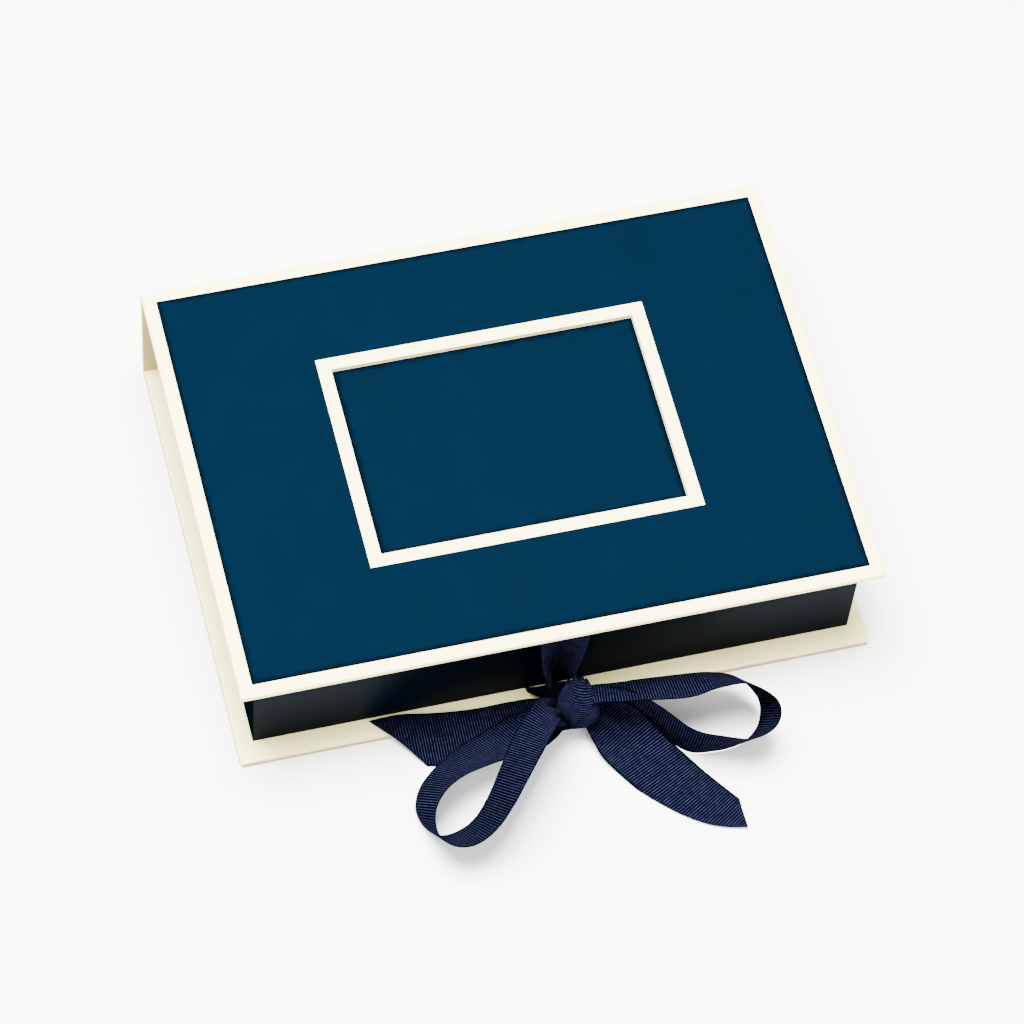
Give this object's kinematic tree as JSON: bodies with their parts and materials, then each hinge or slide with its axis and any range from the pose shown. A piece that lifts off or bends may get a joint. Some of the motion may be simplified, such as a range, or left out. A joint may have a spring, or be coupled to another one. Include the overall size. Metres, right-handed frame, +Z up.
{
  "type": "photo box",
  "caption": "Hinged board box for photo prints: a tray on a base, a folding spine, a lid with a recessed window, and a ribbon bow that ties it shut.",
  "frame": {"origin": "centre of the base's underside, on the table", "axes": "+X to the right along the front edge, +Y back to the spine, +Z up"},
  "size_m": [0.27, 0.2705, 0.06],
  "materials": {
    "greyboard": "raw grey board",
    "cream_paper": "matt cream cover paper",
    "inner_paper": "matt cream lining paper",
    "tray_paper": "satin navy cover paper",
    "blue_paper": "matt blue cover paper",
    "grosgrain": "ribbed navy ribbon"
  },
  "bodies": {
    "base": {"base_board": "greyboard", "base_cover": "cream_paper", "base_fold": "cream_paper", "tray_floor": "greyboard", "tray_front_wall": "greyboard", "tray_back_wall": "greyboard", "tray_left_wall": "greyboard", "tray_right_wall": "greyboard", "tray_cover": "tray_paper", "tray_lining": "tray_paper", "base_ribbon": "grosgrain", "ribbon_knot": "grosgrain", "ribbon_loop_left": "grosgrain", "ribbon_loop_right": "grosgrain", "ribbon_tail_left": "grosgrain", "ribbon_tail_right": "grosgrain"},
    "spine": {"spine_board": "greyboard", "spine_cover": "cream_paper", "spine_lining": "inner_paper", "lid_fold": "cream_paper"},
    "lid": {"lid_window_board": "greyboard", "lid_backing_board": "greyboard", "lid_cover": "cream_paper", "lid_panel": "blue_paper", "lid_insert": "blue_paper", "lid_lining": "inner_paper", "lid_ribbon": "grosgrain"}
  },
  "joints": [
    {"name": "base_hinge", "type": "hinge", "parent": "base", "child": "spine", "pos_m": [0, 0.09875, 0.0031], "axis": [-1, 0, 0], "range_deg": [0, 90]},
    {"name": "lid_hinge", "type": "hinge", "parent": "spine", "child": "lid", "pos_m": [0, 0.09875, 0.0569], "axis": [-1, 0, 0], "range_deg": [0, 90]}
  ]
}
